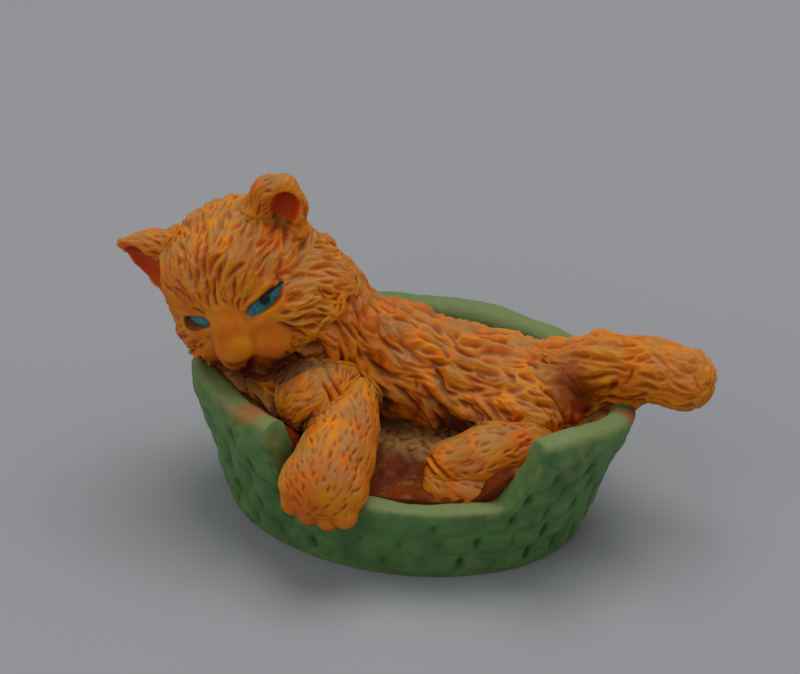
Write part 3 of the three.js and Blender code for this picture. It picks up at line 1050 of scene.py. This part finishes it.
def bedding_skin():
    """The resin the kitten lies in: it climbs to the wall, and lies low and flat behind the sill."""
    degrees = oval_angles(480)
    low_front = ease(degrees, *BEDDING["low_left"]) * ease(degrees, *BEDDING["low_right"])
    edge = BEDDING["back"] + BEDDING["foreleg_rise"] * around(degrees, *BEDDING["foreleg_side"])
    edge += BEDDING["tail_rise"] * around(from_tail(degrees), *BEDDING["tail_sides"])
    edge += (BEDDING["front"] - edge) * low_front
    inset = BASKET["wall"] - BEDDING["overlap"]
    bottom = BASKET["floor"] + BEDDING["gap"]
    under = [oval_ring(degrees, inset + inwards, bottom) for inwards in (10.6, 6, 2)]
    sides = [oval_ring(degrees, inset, bottom + (edge - bottom) * share) for share in np.linspace(0, 1, 8)]
    upper = []
    for share in np.linspace(0, 1, 60)[1:]:
        ring = oval_ring(degrees, inset, edge) * (1 - 0.97 * share)
        level = BEDDING["front"] + (BEDDING["middle"] - BEDDING["front"]) * ease(ring[:, 1], -12, -6)
        ring[:, 2] = edge + (level - edge) * ease(share, 0.0, 0.42)
        upper.append(ring)
    skin = closed_skin(under + sides + upper)
    free = np.zeros(len(skin.points))
    free[len(under + sides) * len(degrees):] = 1
    skin.push(rough(skin.points, (0.35, 2.6, 41), (0.16, 0.9, 42), (0.05, 0.35, 43)) * free)
    skin.measure()
    skin.layers["sheltered"] = ease(skin.points[:, 1], -9.5, -7) * ease(skin.points[:, 1], 4, -2)
    return skin


def bedding_material():
    """Red-brown resin under patchy tan dust, with fluff gathered in the shelter of the belly."""
    nodes = Nodes("bedding_resin")
    shade = nodes.mix(nodes.ramp(nodes.noise(2.4), 0.35, 0.65), BEDDING_BROWN, BROWN_WASH_AND_SHADE)
    patches = nodes.ramp(nodes.noise(1.6, detail=5), 0.52, 0.75)
    dusty = nodes.times(nodes.ramp(nodes.facing_up(), 0.5, 0.98), patches)
    shade = nodes.mix(nodes.times(dusty, 0.45), shade, DUST)
    fluff = nodes.times(nodes.layer("sheltered"), nodes.ramp(nodes.noise(0.9, detail=5), 0.3, 0.6))
    shade = nodes.mix(nodes.times(fluff, 0.85), shade, DUST)
    nodes.surface("Base Color", shade)
    nodes.surface("Specular IOR Level", 0.12)
    nodes.surface("Roughness", nodes.ramp(nodes.noise(0.6), 0.3, 0.7, 0.5, 0.85))
    nodes.surface("Normal", nodes.bump(nodes.noise(0.25, detail=4), 0.06, 0.8))
    return nodes.material


# ---------- Eyes ----------

LENS = {
    "columns": 96,  # points along the almond
    "rows": 48,
    "bulge": 0.35,
    "bend": 0.15,  # how far the ends turn back round the head
    "thickness": 0.8,
    "inset": 0.1,  # how far the lens lies behind the eye's place
    "end": 0.04,  # height of the almond's ends, as a share of its middle's
}
PUPILS = {"eye_left": ((-0.05, 0.25), 0.7), "eye_right": ((-1.3, -0.1), 0.5)}  # place across and up, radius
LID_LINE = {"eye_left": 1, "eye_right": -1}  # the lid painted dark: 1 the upper, -1 the lower


def sheet_pair_faces(columns, rows):
    """Faces of two grids of points, one behind the other, joined all round their border."""
    border = [(i, 0) for i in range(columns)]
    border += [(columns - 1, j) for j in range(1, rows)]
    border += [(i, rows - 1) for i in range(columns - 2, -1, -1)]
    border += [(0, j) for j in range(rows - 2, 0, -1)]
    border = np.array([i * rows + j for i, j in border])
    after = np.roll(border, -1)
    corner = (np.arange(columns - 1)[:, None] * rows + np.arange(rows - 1)[None]).ravel()
    front = np.stack([corner, corner + rows, corner + rows + 1, corner + 1], 1)
    behind = columns * rows
    sides = np.stack([after, border, border + behind, after + behind], 1)
    return np.concatenate([front, front[:, ::-1] + behind, sides])


def make_eye(name):
    """An almond lens facing out of the head, with its pupil and lid line painted on."""
    eye = EYES[name]
    half, open_half = eye["half"]
    places = (np.linspace(-1, 1, LENS[count]) for count in ("columns", "rows"))
    across, up = np.meshgrid(*places, indexing="ij")
    almond = LENS["end"] + (1 - LENS["end"]) * np.clip(1 - across**2, 0, 1) ** 0.75
    bulge = LENS["bulge"] * np.clip(1 - across**2, 0, 1) * (1 - 0.5 * up**2)
    bend = LENS["bend"] * across**2
    depths = (bend - bulge, bend + LENS["thickness"])
    sheets = [np.stack([across * half, depth, up * almond * open_half], -1) for depth in depths]
    local = np.concatenate([sheet.reshape(-1, 3) for sheet in sheets])
    turn = head_turn @ turn_matrix(z=eye["wrap"]) @ turn_matrix(y=-eye["tilt"])
    x, forward, rise = eye["place"]
    middle = from_head((x, forward - LENS["inset"], rise))
    skin = Skin(middle + local @ turn.T, sheet_pair_faces(LENS["columns"], LENS["rows"]))
    (pupil_across, pupil_up), radius = PUPILS[name]
    from_pupil = np.hypot(local[:, 0] - pupil_across, local[:, 2] - pupil_up)
    pupil = 1 - ease(from_pupil, radius - 0.1, radius + 0.05)
    outer_half = ease(np.tile(across.ravel(), 2) * LID_LINE[name], -0.5, 0.1)
    line = ease(np.tile(up.ravel(), 2) * LID_LINE[name], 0.2, 0.5) * outer_half
    skin.layers["dark"] = np.maximum(pupil, line)
    return make_object(name, skin, eye_material(name))


def eye_material(name):
    """Turquoise eye paint with a black pupil and lid line."""
    nodes = Nodes("paint_" + name)
    shade = nodes.mix(nodes.ramp(nodes.noise(0.6), 0.35, 0.65), TURQUOISE, DEEP_TURQUOISE)
    shade = nodes.mix(nodes.layer("dark"), shade, BLACK)
    nodes.surface("Base Color", shade)
    nodes.surface("Roughness", nodes.ramp(nodes.noise(0.5), 0.3, 0.7, 0.35, 0.5))
    nodes.surface("Normal", nodes.bump(nodes.noise(0.3), 0.02, 0.4))
    return nodes.material


# ---------- Scene ----------

CAMERA = {
    "azimuth": 17,  # degrees right of the front
    "elevation": 35,  # degrees above the floor
    "distance": 330,  # from the target, in mm
    "target": (0, 0, 8),
    "aim": (-1.7, 12.9),  # how far right of and above the target the middle of the picture lies, in mm
    "lens": 121.8,
}
FLOOR_REACH = 3.0  # half the floor's side, in metres


def build_kitten():
    resin = kitten_material()
    for number, name in enumerate(PARTS):
        skin = sculpt(name)
        grow_fur(name, skin, 100 * (number + 1))
        install(make_object(name, skin, resin), name)


def build_basket():
    install(make_object("basket", basket_skin(), basket_material()), "basket")
    install(make_object("bedding", bedding_skin(), bedding_material()), "bedding")


def build_eyes():
    for name in EYES:
        install(make_eye(name), name)


def build_camera():
    azimuth, elevation = math.radians(CAMERA["azimuth"]), math.radians(CAMERA["elevation"])
    right = Vector((math.cos(azimuth), math.sin(azimuth), 0))
    level = math.cos(elevation)
    away = Vector((math.sin(azimuth) * level, -math.cos(azimuth) * level, math.sin(elevation)))
    up = away.cross(right)
    target = Vector(CAMERA["target"])
    aim_right, aim_up = CAMERA["aim"]
    camera = bpy.data.objects.new("camera", bpy.data.cameras.new("camera"))
    bpy.context.collection.objects.link(camera)
    camera.location = (target + away * CAMERA["distance"]) * MM
    aim = (target + right * aim_right + up * aim_up) * MM
    camera.rotation_euler = (aim - camera.location).to_track_quat("-Z", "Y").to_euler()
    camera.data.lens = CAMERA["lens"]
    camera.data.clip_start = 0.01
    bpy.context.scene.camera = camera


def floor_material():
    """Pale grey, hardly uneven."""
    nodes = Nodes("pale_floor")
    shade = nodes.mix(nodes.noise(120), colour(158, 159, 162), colour(166, 167, 170))
    nodes.surface("Base Color", shade)
    nodes.surface("Roughness", 0.8)
    return nodes.material


def build_floor():
    corners = [(x * FLOOR_REACH, y * FLOOR_REACH, 0) for x, y in ((-1, -1), (1, -1), (1, 1), (-1, 1))]
    mesh = bpy.data.meshes.new("floor")
    mesh.from_pydata(corners, [], [(0, 1, 2, 3)])
    mesh.materials.append(floor_material())
    floor = bpy.data.objects.new("floor", mesh)
    bpy.context.collection.objects.link(floor)


def area_light(name, place, aim, size, power):
    """A soft square light; lengths are in metres."""
    data = bpy.data.lights.new(name, "AREA")
    data.size = size
    data.energy = power
    light = bpy.data.objects.new(name, data)
    light.location = place
    light.rotation_euler = (Vector(aim) - Vector(place)).to_track_quat("-Z", "Y").to_euler()
    bpy.context.collection.objects.link(light)


def build_lights():
    area_light("top", (0.05, 0.15, 0.7), (0, 0, 0), 0.5, 2.5)
    area_light("front", (-0.35, -0.6, 0.5), (0, 0, 0.02), 0.6, 1.05)
    for side in (-1, 1):
        area_light("side", (side * 0.7, 0.05, 0.35), (0, 0, 0.01), 0.5, 0.38)
    world = bpy.data.worlds.new("soft_room")
    world.use_nodes = True
    world.node_tree.nodes["Background"].inputs["Color"].default_value = (0.94, 0.96, 1.0, 1)
    world.node_tree.nodes["Background"].inputs["Strength"].default_value = 0.25
    bpy.context.scene.world = world
    bpy.context.scene.view_settings.view_transform = "Standard"


build_camera()
build_floor()
build_lights()
build_kitten()
build_basket()
build_eyes()
